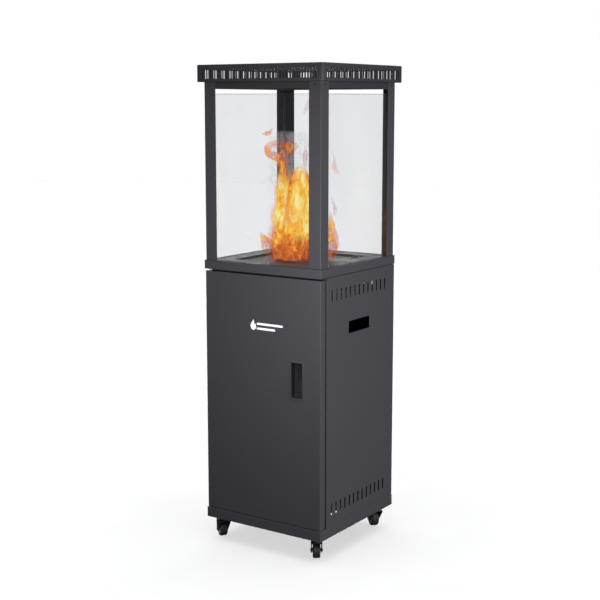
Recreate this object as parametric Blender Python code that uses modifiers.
"""Outdoor gas heater: a square flame tower with a door cabinet, on four swivel casters.

Blender 4.5, metres, +Z up. The origin is on the floor under the middle of the cabinet,
and the door faces -Y. Every touching pair of pieces keeps GAP between their meshes.
"""

import math

import bmesh
import bpy
from mathutils import Matrix, Vector

# Driving dimensions
GAP = 0.0003  # clearance between pieces that touch
SHEET = 0.0012  # cabinet sheet steel
PLATE = 0.0015  # deck, posts and brackets
CABINET_HALF = 0.215  # half the cabinet's width and depth
PLINTH_HALF = 0.216
PLINTH_BOTTOM = 0.075
PLINTH_TOP = 0.107
CABINET_TOP = 0.8755  # top of the side and rear panels
DECK_BOTTOM = 0.877
DECK_TOP = 0.904
PANEL_FRONT = -0.1805  # front edge of the side panels
PANEL_REAR = 0.185
FLANGE = 0.030  # folded edges of the side and rear panels
POST_OUTER = 0.212
POST_LEG = 0.042
LID_BOTTOM = 1.4483
LID_TOP = 1.500
LID_HALF = 0.229
NECK_HALF = 0.186  # upstand under the deck that stands on the cabinet

# Vents and hand holes
VENT_COUNT = 13
VENT_PITCH = 0.0257
VENT_CENTRE = 0.0026
VENT_WIDTH = 0.007
UPPER_VENT = (0.8026, 0.8375)
LOWER_VENT = (0.1435, 0.1798)
LID_SLOT_COUNT = 41
LID_SLOT_PITCH = 0.0102
LID_SLOT_WIDTH = 0.0048
LID_SLOT = (1.457, 1.486)
HAND_HOLE = (-0.0582, 0.0639, 0.6924, 0.7300)  # low y, high y, low z, high z

# Door
DOOR_X = (-0.212, 0.214)
DOOR_Y = (-0.215, -0.188)
DOOR_Z = (0.109, 0.871)
DOOR_AXIS = (-0.2065, -0.2005)
HINGE_PIN_RADIUS = 0.0022
HINGE_BORE_RADIUS = 0.00232
UPPER_HINGE = 0.879  # underside of the upper bracket, hidden by the deck's skirt
BEZEL_X = (0.1035, 0.1544)
BEZEL_Z = (0.5026, 0.6216)
CUP_X = (0.1097, 0.1512)
CUP_Z = (0.5096, 0.6178)
CUP_BOTTOM_Y = -0.1960
BEZEL_FRONT_Y = -0.2168
STIFFENER_Z = (0.440, 0.480)

# Flame chamber
GLASS_OUTER = 0.2098
GLASS_THICK = 0.004
GLASS_HALF_WIDTH = 0.205
GLASS_TOP = 1.413
RECESS_HALF = 0.150
RECESS_FLOOR = 0.8980
TOP_FRAME_BOTTOM = 1.428
TOP_FRAME_TOP = 1.448

# Gas train
COMPARTMENT_FLOOR = 0.781
CONTROL_Y = -0.176  # front face of the control panel
KNOB_X = -0.030
BUTTON_X = 0.045
CONTROL_Z = 0.830
INLET_Y = -0.140
PILOT = (0.128, 0.122)
PILOT_SPREAD = 0.0133  # from the pilot to its thermocouple and its electrode

# Casters
KINGPIN = 0.178  # kingpins stand at plus and minus this in x and y
TRAIL = 0.022
WHEEL_RADIUS = 0.025
WHEEL_SIDES = 20
AXLE_RADIUS = 0.003
AXLE_BORE = 0.00312
KINGPIN_RADIUS = 0.004
CROWN = (0.0565, 0.0600)
ARM_INNER = 0.0145
ARM_OUTER = 0.0172
PEDAL_PIVOT = (0.030, 0.0545)
CASTERS = {
    # name: (x side, y side, heading of the trailing wheel in degrees, has a brake)
    "front_left": (-1, -1, 142.4, True),
    "front_right": (1, -1, 124.4, True),
    "rear_left": (-1, 1, 142.4, False),
    "rear_right": (1, 1, 142.4, False),
}

# Finishes: colour, roughness, metallic
FINISHES = {
    "dark_paint": ((0.055, 0.055, 0.060), 0.55, 0.3),
    "floor_steel": ((0.42, 0.44, 0.46), 0.40, 0.9),
    "burner_steel": ((0.16, 0.17, 0.18), 0.45, 0.9),
    "glass": ((0.85, 0.88, 0.88), 0.05, 0.0),
    "brass": ((0.55, 0.40, 0.16), 0.35, 1.0),
    "zinc": ((0.55, 0.55, 0.56), 0.35, 0.9),
    "black_plastic": ((0.020, 0.020, 0.022), 0.50, 0.0),
    "tyre": ((0.030, 0.030, 0.030), 0.75, 0.0),
    "ceramic": ((0.80, 0.78, 0.72), 0.45, 0.0),
    "copper": ((0.60, 0.30, 0.18), 0.35, 1.0),
}


def clear_scene():
    for thing in list(bpy.data.objects):
        bpy.data.objects.remove(thing, do_unlink=True)


def new_collection(name):
    made = bpy.data.collections.new(name)
    bpy.context.scene.collection.children.link(made)
    return made


clear_scene()
HEATER = new_collection("outdoor_heater")
CUTTERS = new_collection("cutters")


# Materials and objects
def own_material(name, finish):
    colour, roughness, metallic = FINISHES[finish]
    material = bpy.data.materials.new(f"{name}_{finish}")
    material.use_nodes = True
    shader = material.node_tree.nodes["Principled BSDF"]
    shader.inputs["Base Color"].default_value = (*colour, 1)
    shader.inputs["Roughness"].default_value = roughness
    shader.inputs["Metallic"].default_value = metallic
    return material


def add_part(name, mesh, finish, location=(0, 0, 0), rotation=(0, 0, 0), parent=None):
    part = bpy.data.objects.new(name, mesh)
    HEATER.objects.link(part)
    part.location = location
    part.rotation_euler = rotation
    part.parent = parent
    mesh.materials.clear()
    mesh.materials.append(own_material(name, finish))
    return part


def add_guide(name, mesh, location=(0, 0, 0), rotation=(0, 0, 0), parent=None):
    """A cutter, or a shape that a union takes in. It is not a piece of its own."""
    guide = bpy.data.objects.new(name, mesh)
    CUTTERS.objects.link(guide)
    guide.location = location
    guide.rotation_euler = rotation
    guide.parent = parent
    guide.hide_render = True
    guide.display_type = "WIRE"
    return guide


def combine(part, operation, *guides):
    for guide in guides:
        boolean = part.modifiers.new(f"{operation.lower()}_{guide.name}", "BOOLEAN")
        boolean.operation = operation
        boolean.solver = "EXACT"
        boolean.object = guide


def cut(part, *guides):
    combine(part, "DIFFERENCE", *guides)


def join(part, *guides):
    combine(part, "UNION", *guides)


# Meshes
def finish_mesh(name, shape):
    mesh = bpy.data.meshes.new(name)
    shape.to_mesh(mesh)
    shape.free()
    return mesh


def box_mesh(name, low, high):
    shape = bmesh.new()
    low, high = Vector(low), Vector(high)
    size = Matrix.Diagonal((*(high - low), 1))
    bmesh.ops.create_cube(shape, size=1, matrix=Matrix.Translation((low + high) / 2) @ size)
    return finish_mesh(name, shape)


def square_mesh(name, half, low_z, high_z):
    """A square slab about the vertical axis."""
    return box_mesh(name, (-half, -half, low_z), (half, half, high_z))


def cylinder_mesh(name, radius, low, high, sides=24, centre=(0, 0)):
    shape = bmesh.new()
    place = Matrix.Translation((centre[0], centre[1], (low + high) / 2))
    bmesh.ops.create_cone(
        shape, cap_ends=True, segments=sides, radius1=radius, radius2=radius, depth=high - low, matrix=place
    )
    return finish_mesh(name, shape)


def slot_mesh(name, width, length, depth):
    """A round-ended slot that stands along Z and runs through along X: a stretched cylinder."""
    sides = 8
    shape = bmesh.new()
    turn = Matrix.Rotation(math.radians(90), 4, "Y") @ Matrix.Rotation(math.pi / sides, 4, "Z")
    radius = width / 2 / math.cos(math.pi / sides)
    bmesh.ops.create_cone(
        shape, cap_ends=True, segments=sides, radius1=radius, radius2=radius, depth=depth, matrix=turn
    )
    for corner in shape.verts:
        corner.co.z += math.copysign((length - width) / 2, corner.co.z)
    return finish_mesh(name, shape)


def turned(part_or_guide, sides):
    """Turns an object's profile about its own Z axis."""
    screw = part_or_guide.modifiers.new("turn", "SCREW")
    screw.steps = sides
    screw.render_steps = sides
    screw.use_merge_vertices = True
    screw.merge_threshold = 0.00001
    return part_or_guide


def profile_mesh(name, points, closed, sides, half_step=False):
    """A profile of (radius, height) points that runs down the outer side of a turned shape."""
    shape = bmesh.new()
    angle = math.pi / sides if half_step else 0
    rim = [shape.verts.new((r * math.cos(angle), r * math.sin(angle), z)) for r, z in points]
    for first, second in zip(rim, rim[1:] + rim[:1] if closed else rim[1:]):
        shape.edges.new((first, second))
    return finish_mesh(name, shape)


def hull_mesh(name, points):
    shape = bmesh.new()
    corners = [shape.verts.new(point) for point in points]
    made = bmesh.ops.convex_hull(shape, input=corners)
    spare = [item for item in made["geom_interior"] if isinstance(item, bmesh.types.BMVert)]
    bmesh.ops.delete(shape, geom=spare, context="VERTS")
    return finish_mesh(name, shape)


def tube(name, points, radius, finish):
    """A closed tube along a list of points."""
    curve = bpy.data.curves.new(name, "CURVE")
    curve.dimensions = "3D"
    curve.bevel_depth = radius
    curve.bevel_resolution = 2
    curve.use_fill_caps = True
    spline = curve.splines.new("POLY")
    spline.points.add(len(points) - 1)
    for knot, point in zip(spline.points, points):
        knot.co = (*point, 1)
    line = bpy.data.objects.new(name, curve)
    HEATER.objects.link(line)
    curve.materials.append(own_material(name, finish))
    return line


def rounded_path(corners, radius, steps=3):
    """Points along straight runs joined by quadratic bends at the corners."""
    corners = [Vector(corner) for corner in corners]
    path = [corners[0]]
    for before, corner, after in zip(corners, corners[1:], corners[2:]):
        start = corner + (before - corner).normalized() * radius
        end = corner + (after - corner).normalized() * radius
        for step in range(steps + 1):
            t = step / steps
            path.append(start * (1 - t) ** 2 + corner * 2 * t * (1 - t) + end * t * t)
    return path + [corners[-1]]


# Base and cabinet
def make_base_tray():
    outer = square_mesh("base_tray", PLINTH_HALF, PLINTH_BOTTOM, PLINTH_TOP)
    tray = add_part("base_tray", outer, "dark_paint")
    inside = PLINTH_HALF - PLATE
    hollow = square_mesh("base_tray_hollow", inside, PLINTH_BOTTOM + PLATE, PLINTH_TOP - PLATE)
    mouth = square_mesh("base_tray_mouth", NECK_HALF, PLINTH_BOTTOM + PLATE, PLINTH_TOP + 0.005)
    cut(tray, add_guide("base_tray_hollow", hollow), add_guide("base_tray_mouth", mouth))
    drain = add_guide(
        "base_tray_drains",
        slot_mesh("base_tray_drains", 0.010, 0.120, 0.020),
        location=(-0.105, 0, PLINTH_BOTTOM),
        rotation=(math.radians(90), math.radians(90), 0),
    )
    repeat(drain, (0, 0.035, 0), 7)
    cut(tray, drain)


def repeat(guide, offset, count):
    """Repeats a guide along its own axes."""
    array = guide.modifiers.new("row", "ARRAY")
    array.use_relative_offset = False
    array.use_constant_offset = True
    array.constant_offset_displace = offset
    array.count = count


def vent_row(name, span, wall_axis, wall_at):
    """Slots through a side wall (wall_axis 0) or the rear wall (wall_axis 1)."""
    low, high = span
    middle = (low + high) / 2
    first = VENT_CENTRE - VENT_PITCH * (VENT_COUNT - 1) / 2
    mesh = slot_mesh(name, VENT_WIDTH, high - low, 0.020)
    if wall_axis == 0:
        row = add_guide(name, mesh, location=(wall_at, first, middle))
        repeat(row, (0, VENT_PITCH, 0), VENT_COUNT)
    else:
        across = (0, 0, math.radians(90))
        row = add_guide(name, mesh, location=(first, wall_at, middle), rotation=across)
        repeat(row, (0, -VENT_PITCH, 0), VENT_COUNT)
    return row


def make_side_panel(side):
    name = "side_panel_right" if side > 0 else "side_panel_left"
    outer, inner = side * CABINET_HALF, side * (CABINET_HALF - FLANGE)
    low_z = PLINTH_TOP + GAP
    low = (min(outer, inner), PANEL_FRONT, low_z)
    high = (max(outer, inner), PANEL_REAR, CABINET_TOP)
    panel = add_part(name, box_mesh(name, low, high), "dark_paint")
    web = side * (CABINET_HALF - SHEET)
    past = side * (CABINET_HALF - FLANGE - 0.005)
    hollow = box_mesh(
        f"{name}_hollow",
        (min(web, past), PANEL_FRONT + SHEET, low_z + SHEET),
        (max(web, past), PANEL_REAR - SHEET, CABINET_TOP - SHEET),
    )
    low_y, high_y, hole_low, hole_high = HAND_HOLE
    hand_hole = box_mesh(
        f"{name}_hand_hole", (outer - 0.010, low_y, hole_low), (outer + 0.010, high_y, hole_high)
    )
    cut(
        panel,
        add_guide(f"{name}_hollow", hollow),
        add_guide(f"{name}_hand_hole", hand_hole),
        vent_row(f"{name}_upper_vents", UPPER_VENT, 0, outer),
        vent_row(f"{name}_lower_vents", LOWER_VENT, 0, outer),
    )


def make_rear_panel():
    low_z = PLINTH_TOP + GAP
    panel = add_part(
        "rear_panel",
        box_mesh(
            "rear_panel",
            (-CABINET_HALF, PANEL_REAR + GAP, low_z),
            (CABINET_HALF, CABINET_HALF, CABINET_TOP),
        ),
        "dark_paint",
    )
    hollow = box_mesh(
        "rear_panel_hollow",
        (SHEET - CABINET_HALF, PANEL_REAR - 0.005, low_z + SHEET),
        (CABINET_HALF - SHEET, CABINET_HALF - SHEET, CABINET_TOP - SHEET),
    )
    cut(
        panel,
        add_guide("rear_panel_hollow", hollow),
        vent_row("rear_panel_upper_vents", UPPER_VENT, 1, CABINET_HALF),
        vent_row("rear_panel_lower_vents", LOWER_VENT, 1, CABINET_HALF),
    )


def make_compartment_floor():
    """The plate between the cylinder bay and the burner, with turned-down edges."""
    half_x = CABINET_HALF - SHEET - GAP
    front = PANEL_FRONT + SHEET + GAP
    rear = PANEL_REAR - SHEET - GAP
    outer = box_mesh(
        "compartment_floor",
        (-half_x, front, COMPARTMENT_FLOOR - 0.012),
        (half_x, rear, COMPARTMENT_FLOOR),
    )
    plate = add_part("compartment_floor", outer, "dark_paint")
    hollow = box_mesh(
        "compartment_floor_hollow",
        (PLATE - half_x, front + PLATE, COMPARTMENT_FLOOR - 0.020),
        (half_x - PLATE, rear - PLATE, COMPARTMENT_FLOOR - PLATE),
    )
    below, above = COMPARTMENT_FLOOR - 0.02, COMPARTMENT_FLOOR + 0.01
    hose_hole = cylinder_mesh("hose_hole", 0.012, below, above, centre=(KNOB_X, INLET_Y))
    air_hole = cylinder_mesh("air_hole", 0.030, below, above)
    cut(
        plate,
        add_guide("compartment_floor_hollow", hollow),
        add_guide("hose_hole", hose_hole),
        add_guide("air_hole", air_hole),
    )


# Deck and flame chamber
def make_deck():
    deck = add_part("deck", square_mesh("deck", PLINTH_HALF, DECK_BOTTOM, DECK_TOP), "dark_paint")
    ledge_top = DECK_TOP - PLATE - GAP
    ledge_bottom = ledge_top - PLATE
    underside = square_mesh("deck_underside", PLINTH_HALF - PLATE, DECK_BOTTOM - 0.010, ledge_bottom)
    seat = square_mesh("deck_seat", CABINET_HALF - 0.0052, ledge_top, DECK_TOP + 0.010)
    throat_half = NECK_HALF - PLATE - 0.001
    throat = square_mesh("deck_throat", throat_half, DECK_BOTTOM - 0.020, DECK_TOP + 0.020)
    neck = square_mesh("deck_neck", NECK_HALF, CABINET_TOP + GAP, ledge_top - 0.0005)
    cut(deck, add_guide("deck_underside", underside), add_guide("deck_seat", seat))
    join(deck, add_guide("deck_neck", neck))
    inner = square_mesh("deck_neck_inside", NECK_HALF - PLATE, CABINET_TOP - 0.010, ledge_bottom)
    cut(deck, add_guide("deck_neck_inside", inner), add_guide("deck_throat", throat))


def make_floor_tray():
    """The steel floor of the flame chamber, with a square collar round the burner."""
    tray = add_part(
        "floor_tray", square_mesh("floor_tray", 0.2093, DECK_TOP - PLATE, DECK_TOP), "floor_steel"
    )
    collar = square_mesh("floor_tray_collar", RECESS_HALF + PLATE, RECESS_FLOOR + GAP, DECK_TOP - 0.0005)
    recess = square_mesh("floor_tray_recess", RECESS_HALF, RECESS_FLOOR - 0.010, DECK_TOP + 0.010)
    join(tray, add_guide("floor_tray_collar", collar))
    cut(tray, add_guide("floor_tray_recess", recess))


def make_burner():
    outer = square_mesh("burner_plate", 0.165, RECESS_FLOOR - PLATE, RECESS_FLOOR)
    plate = add_part("burner_plate", outer, "burner_steel")
    below, above = RECESS_FLOOR - 0.010, RECESS_FLOOR + 0.010
    well = cylinder_mesh("burner_well", 0.0715, below, above, sides=32)
    pilot_hole = cylinder_mesh("pilot_hole", 0.0160, below, above, sides=16, centre=PILOT)
    cut(plate, add_guide("burner_well", well), add_guide("pilot_hole", pilot_hole))
    rim = RECESS_FLOOR + GAP
    bowl_profile = [
        (0.0665, rim + PLATE),
        (0.0850, rim + PLATE),
        (0.0850, rim),
        (0.0700, rim),
        (0.0700, 0.862),
        (0.0200, 0.850),
        (0.0140, 0.846),
        (0.0140, 0.812),
        (0.0125, 0.812),
        (0.0125, 0.848),
        (0.0190, 0.8516),
        (0.0665, 0.8635),
    ]
    bowl = profile_mesh("burner_bowl", bowl_profile, True, 20)
    turned(add_part("burner_bowl", bowl, "burner_steel"), 20)
    disc_low = rim + PLATE + GAP
    disc = add_part(
        "flame_disc", cylinder_mesh("flame_disc", 0.0760, disc_low, disc_low + PLATE), "floor_steel"
    )
    for ring, (radius, count) in enumerate(((0.050, 12), (0.025, 6))):
        for step in range(count):
            angle = math.tau * step / count
            spot = (radius * math.cos(angle), radius * math.sin(angle))
            name = f"flame_port_{ring}_{step}"
            port = cylinder_mesh(name, 0.004, disc_low - 0.005, disc_low + 0.010, 6, spot)
            cut(disc, add_guide(name, port))


def make_pilot():
    """The pilot flame hood with its thermocouple and spark electrode."""
    x, y = PILOT
    seat = RECESS_FLOOR + GAP
    hood = [
        (0.0040, seat + 0.0065),
        (0.0075, seat + 0.0065),
        (0.0085, seat + 0.0050),
        (0.0085, seat + PLATE),
        (0.0180, seat + PLATE),
        (0.0180, seat),
        (0.0070, seat),
        (0.0070, 0.868),
        (0.0040, 0.868),
    ]
    hood_mesh = profile_mesh("pilot_burner", hood, True, 12)
    pilot = turned(add_part("pilot_burner", hood_mesh, "burner_steel", (x, y, 0)), 12)
    for name, offset in (("thermocouple_hole", -PILOT_SPREAD), ("electrode_hole", PILOT_SPREAD)):
        hole = cylinder_mesh(name, 0.0024, seat - 0.01, seat + 0.02, sides=12, centre=(x + offset, y))
        cut(pilot, add_guide(name, hole))
    probe = [
        (0, seat + 0.0065),
        (0.0012, seat + 0.0055),
        (0.0019, seat + 0.0040),
        (0.0019, 0.855),
        (0, 0.855),
    ]
    probe_mesh = profile_mesh("thermocouple", probe, False, 12)
    turned(add_part("thermocouple", probe_mesh, "copper", (x - PILOT_SPREAD, y, 0)), 12)
    rod = [
        (0, seat + 0.0068),
        (0.0008, seat + 0.0062),
        (0.0008, seat + 0.0040),
        (0.0019, seat + 0.0030),
        (0.0019, 0.860),
        (0, 0.860),
    ]
    rod_mesh = profile_mesh("spark_electrode", rod, False, 12)
    turned(add_part("spark_electrode", rod_mesh, "ceramic", (x + PILOT_SPREAD, y, 0)), 12)


def make_glass():
    inner = GLASS_OUTER - GLASS_THICK
    low_z = DECK_TOP + GAP
    for name, angle in (("front", 0), ("right", 90), ("rear", 180), ("left", 270)):
        pane = box_mesh(
            f"glass_{name}",
            (-GLASS_HALF_WIDTH, -GLASS_OUTER, low_z),
            (GLASS_HALF_WIDTH, -inner, GLASS_TOP),
        )
        add_part(f"glass_{name}", pane, "glass", rotation=(0, 0, math.radians(angle)))


def make_posts():
    high_z = TOP_FRAME_TOP
    inside = POST_LEG - POST_OUTER
    low = (-POST_OUTER, -POST_OUTER, DECK_TOP + GAP)
    for number, name in enumerate(("front_left", "front_right", "rear_right", "rear_left")):
        turn = (0, 0, math.radians(90 * number))
        angle_bar = box_mesh(f"post_{name}", low, (inside, inside, high_z))
        post = add_part(f"post_{name}", angle_bar, "dark_paint", rotation=turn)
        step = PLATE - POST_OUTER
        notch = box_mesh(f"post_{name}_notch", (step, step, DECK_TOP - 0.010), (0, 0, high_z + 0.010))
        cut(post, add_guide(f"post_{name}_notch", notch, rotation=turn))


def make_top_frame():
    half = POST_OUTER - PLATE - GAP
    below = TOP_FRAME_BOTTOM - 0.010
    outer = square_mesh("top_frame", half, TOP_FRAME_BOTTOM, TOP_FRAME_TOP)
    ring = add_part("top_frame", outer, "dark_paint")
    under = square_mesh("top_frame_under", half - PLATE, below, TOP_FRAME_TOP - PLATE)
    mouth = square_mesh("top_frame_mouth", NECK_HALF, below, TOP_FRAME_TOP + 0.010)
    cut(ring, add_guide("top_frame_under", under), add_guide("top_frame_mouth", mouth))


def make_lid():
    outer = square_mesh("lid_cover", LID_HALF, LID_BOTTOM, LID_TOP)
    lid = add_part("lid_cover", outer, "dark_paint")
    bevel = lid.modifiers.new("rounded_edges", "BEVEL")
    bevel.width = 0.003
    bevel.segments = 3
    hollow = square_mesh("lid_hollow", LID_HALF - SHEET, LID_BOTTOM + SHEET, LID_TOP - SHEET)
    mouth = square_mesh("lid_mouth", NECK_HALF + 0.002, LID_BOTTOM - 0.010, LID_BOTTOM + 0.010)
    cut(lid, add_guide("lid_hollow", hollow), add_guide("lid_mouth", mouth))
    first = -LID_SLOT_PITCH * (LID_SLOT_COUNT - 1) / 2
    low_z, high_z = LID_SLOT
    for name, turn in (("lid_slots_front_rear", 0), ("lid_slots_sides", 90)):
        half = LID_SLOT_WIDTH / 2
        slot = box_mesh(name, (first - half, -0.260, low_z), (first + half, 0.260, high_z))
        row = add_guide(name, slot, rotation=(0, 0, math.radians(turn)))
        repeat(row, (LID_SLOT_PITCH, 0, 0), LID_SLOT_COUNT)
        cut(lid, row)
    shield_low = LID_SLOT[1] + 0.0025
    sheet = square_mesh("lid_heat_shield", 0.205, shield_low, shield_low + SHEET)
    shield = add_part("lid_heat_shield", sheet, "burner_steel")
    for x in (-0.150, 0.150):
        for y in (-0.150, 0.150):
            name = f"shield_foot_{'left' if x < 0 else 'right'}_{'front' if y < 0 else 'rear'}"
            foot = cylinder_mesh(
                name, 0.006, shield_low + SHEET / 2, LID_TOP - SHEET - GAP, sides=12, centre=(x, y)
            )
            join(shield, add_guide(name, foot))


# Door and hinges
def make_door():
    low = (DOOR_X[0], DOOR_Y[0], DOOR_Z[0])
    high = (DOOR_X[1], DOOR_Y[1], DOOR_Z[1])
    hinge = Vector((*DOOR_AXIS, 0))
    skin = box_mesh("door_panel", Vector(low) - hinge, Vector(high) - hinge)
    door = add_part("door_panel", skin, "dark_paint", hinge)
    hollow = box_mesh(
        "door_hollow",
        (DOOR_X[0] + SHEET, DOOR_Y[0] + SHEET, DOOR_Z[0] + SHEET),
        (DOOR_X[1] - SHEET, DOOR_Y[1] + 0.010, DOOR_Z[1] - SHEET),
    )
    wall = SHEET + GAP
    handle_hole = box_mesh(
        "door_handle_hole",
        (CUP_X[0] - wall, DOOR_Y[0] - 0.005, CUP_Z[0] - wall),
        (CUP_X[1] + wall, DOOR_Y[0] + 0.005, CUP_Z[1] + wall),
    )
    pin_hole = cylinder_mesh("door_pin_hole", HINGE_BORE_RADIUS, 0.090, 0.890, centre=DOOR_AXIS)
    cut(
        door,
        add_guide("door_hollow", hollow),
        add_guide("door_handle_hole", handle_hole),
        add_guide("door_pin_hole", pin_hole),
    )
    back = DOOR_Y[0] + SHEET + GAP
    low_z, high_z = STIFFENER_Z
    depth = 0.014
    bar = box_mesh("door_stiffener", (-0.2105, back, low_z), (0.2125, back + depth, high_z))
    stiffener = add_part("door_stiffener", bar, "dark_paint")
    channel = box_mesh(
        "stiffener_channel",
        (-0.230, back - 0.005, low_z + SHEET),
        (0.230, back + depth - SHEET, high_z - SHEET),
    )
    cut(stiffener, add_guide("stiffener_channel", channel))


def make_pull_handle():
    """A recessed finger cup with a bezel that stands proud of the door skin."""
    bezel = box_mesh(
        "pull_handle",
        (BEZEL_X[0], BEZEL_FRONT_Y, BEZEL_Z[0]),
        (BEZEL_X[1], DOOR_Y[0] - GAP, BEZEL_Z[1]),
    )
    handle = add_part("pull_handle", bezel, "black_plastic")
    cup = box_mesh(
        "handle_cup",
        (CUP_X[0] - SHEET, BEZEL_FRONT_Y + 0.0005, CUP_Z[0] - SHEET),
        (CUP_X[1] + SHEET, CUP_BOTTOM_Y + SHEET, CUP_Z[1] + SHEET),
    )
    space = box_mesh(
        "handle_space", (CUP_X[0], BEZEL_FRONT_Y - 0.010, CUP_Z[0]), (CUP_X[1], CUP_BOTTOM_Y, CUP_Z[1])
    )
    join(handle, add_guide("handle_cup", cup))
    cut(handle, add_guide("handle_space", space))


def make_hinges():
    """Pivot brackets with welded pins, one on the plinth and one on the deck's neck."""
    x, y = DOOR_AXIS
    foot = PLINTH_TOP + GAP
    plate = box_mesh("hinge_lower", (-0.2125, -0.2090, foot), (-0.175, -0.1905, foot + SHEET))
    lower = add_part("hinge_lower", plate, "zinc")
    lower_pin = cylinder_mesh("lower_pin", HINGE_PIN_RADIUS, foot + SHEET / 2, 0.128, centre=(x, y))
    join(lower, add_guide("lower_pin", lower_pin))
    neck_y = -NECK_HALF - GAP
    plate_top = UPPER_HINGE + PLATE
    plate = box_mesh("hinge_upper", (-0.2125, -0.2090, UPPER_HINGE), (-0.150, neck_y, plate_top))
    upper = add_part("hinge_upper", plate, "zinc")
    leg = box_mesh(
        "upper_leg",
        (-0.1880, neck_y - PLATE, UPPER_HINGE + 0.0005),
        (-0.1501, neck_y, UPPER_HINGE + 0.019),
    )
    pin_top = UPPER_HINGE + PLATE / 2
    upper_pin = cylinder_mesh("upper_pin", HINGE_PIN_RADIUS, 0.852, pin_top, centre=(x, y))
    join(upper, add_guide("upper_leg", leg), add_guide("upper_pin", upper_pin))


def make_catch():
    behind_flange = PANEL_FRONT + SHEET + GAP
    inner_web = CABINET_HALF - SHEET - GAP
    flange_edge = CABINET_HALF - FLANGE - GAP
    body = box_mesh(
        "magnet_catch", (0.168, behind_flange, 0.540), (inner_web, behind_flange + 0.0065, 0.580)
    )
    magnet = add_part("magnet_catch", body, "black_plastic")
    nose = box_mesh("magnet_nose", (0.168, -0.1866, 0.540), (flange_edge, -0.178, 0.580))
    join(magnet, add_guide("magnet_nose", nose))
    wall = DOOR_X[1] - SHEET - GAP
    plate = box_mesh("strike_plate", (0.166, -0.1885, 0.538), (wall, -0.1873, 0.582))
    strike = add_part("strike_plate", plate, "zinc")
    leg = box_mesh("strike_leg", (wall - SHEET, -0.2080, 0.538), (wall, -0.1875, 0.582))
    join(strike, add_guide("strike_leg", leg))


# Gas train and controls
def make_controls():
    low = (-0.100, CONTROL_Y, COMPARTMENT_FLOOR + GAP)
    bracket = box_mesh("control_panel", low, (0.100, CONTROL_Y + 0.030, 0.866))
    panel = add_part("control_panel", bracket, "dark_paint")
    behind = box_mesh(
        "control_panel_behind",
        (-0.110, CONTROL_Y + PLATE, COMPARTMENT_FLOOR + GAP + PLATE),
        (0.110, CONTROL_Y + 0.040, 0.880),
    )
    knob_hole = cylinder_mesh("knob_hole", 0.0055, -0.020, 0.020, sides=20)
    button_hole = cylinder_mesh("button_hole", 0.0058, -0.020, 0.020, sides=20)
    hose_slot = box_mesh("hose_slot", (KNOB_X - 0.013, -0.158, 0.770), (KNOB_X + 0.013, -0.120, 0.790))
    across = (math.radians(90), 0, 0)
    place = (KNOB_X, CONTROL_Y, CONTROL_Z)
    cut(
        panel,
        add_guide("control_panel_behind", behind),
        add_guide("knob_hole", knob_hole, place, across),
        add_guide("button_hole", button_hole, (BUTTON_X, CONTROL_Y, CONTROL_Z), across),
        add_guide("hose_slot", hose_slot),
    )
    front = CONTROL_Y + PLATE + GAP
    body = box_mesh("gas_valve", (KNOB_X - 0.022, front, 0.812), (KNOB_X + 0.022, -0.122, 0.848))
    valve = add_part("gas_valve", body, "brass")
    spindle_bore = cylinder_mesh("spindle_bore", 0.00425, -0.020, 0.020, sides=20)
    cut(valve, add_guide("spindle_bore", spindle_bore, place, across))
    # The turned pieces below run along -Y: height 0 is the control panel's front face.
    spindle = [(0, 0.019), (0.0041, 0.019), (0.0041, -0.013), (0, -0.013)]
    spindle_mesh = profile_mesh("valve_spindle", spindle, False, 20)
    turned(add_part("valve_spindle", spindle_mesh, "brass", place, across), 20)
    knob = [
        (0, 0.0245),
        (0.0165, 0.0245),
        (0.0180, 0.0230),
        (0.0190, 0.0075),
        (0.0215, 0.0055),
        (0.0215, 0.0045),
        (0.0060, 0.0045),
        (0.0044, 0.0045),
        (0.0044, 0.0193),
        (0, 0.0193),
    ]
    knob_mesh = profile_mesh("control_knob", knob, False, 24)
    turned(add_part("control_knob", knob_mesh, "black_plastic", place, across), 24)
    place = (BUTTON_X, CONTROL_Y, CONTROL_Z)
    button = [
        (0, 0.0140),
        (0.0080, 0.0140),
        (0.0090, 0.0130),
        (0.0090, 0.0070),
        (0.0050, 0.0070),
        (0.0050, -0.014),
        (0, -0.014),
    ]
    button_mesh = profile_mesh("igniter_button", button, False, 20)
    turned(add_part("igniter_button", button_mesh, "black_plastic", place, across), 20)
    housing = cylinder_mesh("piezo_igniter", 0.0100, -0.045, -PLATE - GAP, sides=20)
    igniter = add_part("piezo_igniter", housing, "ceramic", place, across)
    bore = cylinder_mesh("piezo_bore", 0.0053, -0.021, 0.010, sides=20)
    cut(igniter, add_guide("piezo_bore", bore, place, across))


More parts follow.
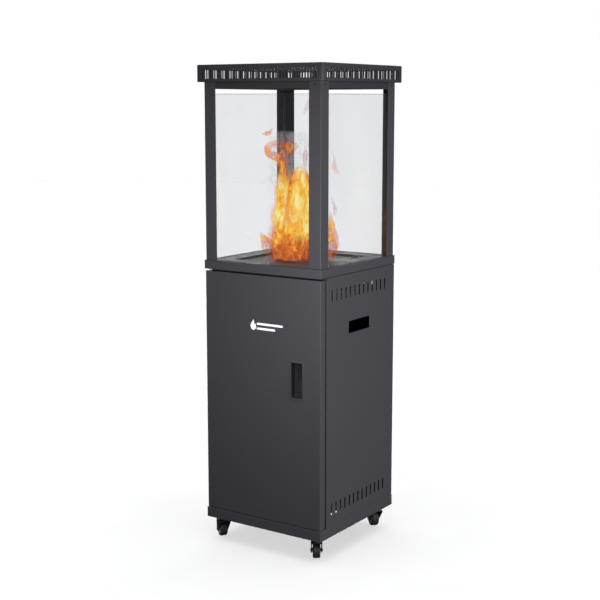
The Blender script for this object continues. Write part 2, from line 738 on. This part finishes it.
def make_gas_lines():
    inlet = [
        (0.0035, 0.8115),
        (0.0080, 0.8115),
        (0.0080, 0.800),
        (0.0060, 0.798),
        (0.0060, 0.776),
        (0.0072, 0.772),
        (0.0056, 0.768),
        (0.0068, 0.764),
        (0.0050, 0.757),
        (0.0035, 0.757),
    ]
    inlet_mesh = profile_mesh("gas_inlet", inlet, True, 12)
    turned(add_part("gas_inlet", inlet_mesh, "brass", (KNOB_X, INLET_Y, 0)), 12)
    valve_back = -0.1215
    corners = [
        (KNOB_X, valve_back, 0.824),
        (KNOB_X, -0.085, 0.824),
        (0, -0.040, 0.800),
        (0, 0, 0.800),
        (0, 0, 0.8115),
    ]
    tube("gas_pipe", rounded_path(corners, 0.008), 0.004, "copper")
    x, y = PILOT
    outlet = KNOB_X + 0.012
    corners = [
        (outlet, valve_back, 0.836),
        (outlet, -0.106, 0.836),
        (x, -0.060, 0.836),
        (x, y, 0.836),
        (x, y, 0.8675),
    ]
    tube("pilot_pipe", rounded_path(corners, 0.014), 0.002, "copper")
    x += PILOT_SPREAD
    corners = [
        (BUTTON_X, -0.1305, CONTROL_Z),
        (BUTTON_X, -0.100, CONTROL_Z),
        (x, -0.040, 0.820),
        (x, y, 0.820),
        (x, y, 0.8595),
    ]
    tube("ignition_lead", rounded_path(corners, 0.016), 0.0015, "black_plastic")
    floor = COMPARTMENT_FLOOR + GAP
    switch = box_mesh("tilt_switch", (-0.165, -0.040, floor), (-0.125, 0, floor + 0.028))
    add_part("tilt_switch", switch, "black_plastic")


# Casters
def make_caster(name, x_side, y_side, heading, braked):
    hub = bpy.data.objects.new(f"caster_{name}", None)
    HEATER.objects.link(hub)
    hub.location = (x_side * KINGPIN, y_side * KINGPIN, 0)
    top = PLINTH_BOTTOM - GAP
    label = f"caster_mount_{name}"
    mount = add_part(label, square_mesh(label, 0.023, top - 0.0025, top), "zinc", parent=hub)
    race_low = CROWN[1] + 0.003 + GAP
    stem = [
        (0, top - 0.001),
        (0.015, top - 0.001),
        (0.015, race_low),
        (KINGPIN_RADIUS, race_low),
        (KINGPIN_RADIUS, CROWN[0] - GAP),
        (0.0065, CROWN[0] - GAP),
        (0.0065, CROWN[0] - 0.003),
        (0, CROWN[0] - 0.003),
    ]
    stem_mesh = profile_mesh(f"caster_stem_{name}", stem, False, 20)
    join(mount, turned(add_guide(f"caster_stem_{name}", stem_mesh, parent=hub), 20))
    swivel = bpy.data.objects.new(f"caster_swivel_{name}", None)
    HEATER.objects.link(swivel)
    swivel.parent = hub
    swivel.rotation_euler = (0, 0, math.radians(heading))
    make_fork(name, swivel, braked)
    make_wheel(name, swivel)
    if braked:
        make_brake_pedal(name, swivel)


def make_fork(name, swivel, braked):
    label = f"caster_fork_{name}"
    crown = box_mesh(label, (-0.016, -ARM_OUTER, CROWN[0]), (0.018, ARM_OUTER, CROWN[1]))
    fork = add_part(label, crown, "dark_paint", parent=swivel)
    outline = [(-0.016, CROWN[1]), (0.034, CROWN[1]), (0.034, 0.0505), (-0.016, 0.0540)]
    end_radius = 0.009
    outline += [
        (TRAIL + end_radius * math.cos(angle), WHEEL_RADIUS + end_radius * math.sin(angle))
        for angle in (math.tau * step / 16 for step in range(16))
    ]
    for side in (-1, 1):
        arm = [(x, side * y, z) for x, z in outline for y in (ARM_INNER, ARM_OUTER)]
        join(fork, add_guide(f"{label}_arm_{side}", hull_mesh(f"{label}_arm_{side}", arm), parent=swivel))
    disc = cylinder_mesh(f"{label}_race", 0.016, CROWN[0] + 0.001, CROWN[1] + 0.003, sides=20)
    join(fork, add_guide(f"{label}_race", disc, parent=swivel))
    bore = cylinder_mesh(f"{label}_bore", KINGPIN_RADIUS + 0.00012, 0.040, 0.070, sides=20)
    cut(fork, add_guide(f"{label}_bore", bore, parent=swivel))
    along = (math.radians(90), 0, 0)
    axle_bore = cylinder_mesh(f"{label}_axle_bore", AXLE_RADIUS + GAP, -0.030, 0.030, sides=16)
    cut(fork, add_guide(f"{label}_axle_bore", axle_bore, (TRAIL, 0, WHEEL_RADIUS), along, swivel))
    if braked:
        pivot_bore = cylinder_mesh(f"{label}_pivot_bore", 0.00212, -0.030, 0.030, sides=16)
        place = (PEDAL_PIVOT[0], 0, PEDAL_PIVOT[1])
        cut(fork, add_guide(f"{label}_pivot_bore", pivot_bore, place, along, swivel))


def make_wheel(name, swivel):
    """A tyre on a boss that fills the fork. A flat of the tread rests on the floor."""
    tread = WHEEL_RADIUS / math.cos(math.pi / WHEEL_SIDES)
    half = [(AXLE_BORE, 0.0142), (0.0070, 0.0142), (0.0070, 0.0095), (0.0170, 0.0095), (0.0180, 0.0115)]
    half += [(0.0225, 0.0115), (tread, 0.0085)]
    profile = half + [(r, -z) for r, z in reversed(half)]
    centre = (TRAIL, 0, WHEEL_RADIUS)
    along = (math.radians(90), 0, 0)
    label = f"caster_wheel_{name}"
    mesh = profile_mesh(label, profile, True, WHEEL_SIDES, half_step=True)
    turned(add_part(label, mesh, "tyre", centre, along, swivel), WHEEL_SIDES)
    pin = [(0, 0.0195), (0.0050, 0.0195), (0.0050, ARM_OUTER + GAP), (AXLE_RADIUS, ARM_OUTER + GAP)]
    pin += [(r, -z) for r, z in reversed(pin)]
    label = f"caster_axle_{name}"
    turned(add_part(label, profile_mesh(label, pin, False, 16), "zinc", centre, along, swivel), 16)


def make_brake_pedal(name, swivel):
    label = f"brake_pedal_{name}"
    x, z = PEDAL_PIVOT
    lever = box_mesh(label, (-0.0035, -0.0125, -0.0015), (0.0235, 0.0125, 0.0015))
    pedal = add_part(label, lever, "dark_paint", (x, 0, z), parent=swivel)
    pivot = cylinder_mesh(f"{label}_pivot", 0.0020, -ARM_OUTER, ARM_OUTER, sides=16)
    shoe = box_mesh(f"{label}_shoe", (0.006, -0.0085, -0.0060), (0.012, 0.0085, -0.0010))
    join(
        pedal,
        add_guide(f"{label}_pivot", pivot, (x, 0, z), (math.radians(90), 0, 0), swivel),
        add_guide(f"{label}_shoe", shoe, (x, 0, z), parent=swivel),
    )


make_base_tray()
for panel_side in (-1, 1):
    make_side_panel(panel_side)
make_rear_panel()
make_compartment_floor()
make_deck()
make_floor_tray()
make_burner()
make_pilot()
make_glass()
make_posts()
make_top_frame()
make_lid()
make_door()
make_pull_handle()
make_hinges()
make_catch()
make_controls()
make_gas_lines()
for caster_name, caster in CASTERS.items():
    make_caster(caster_name, *caster)
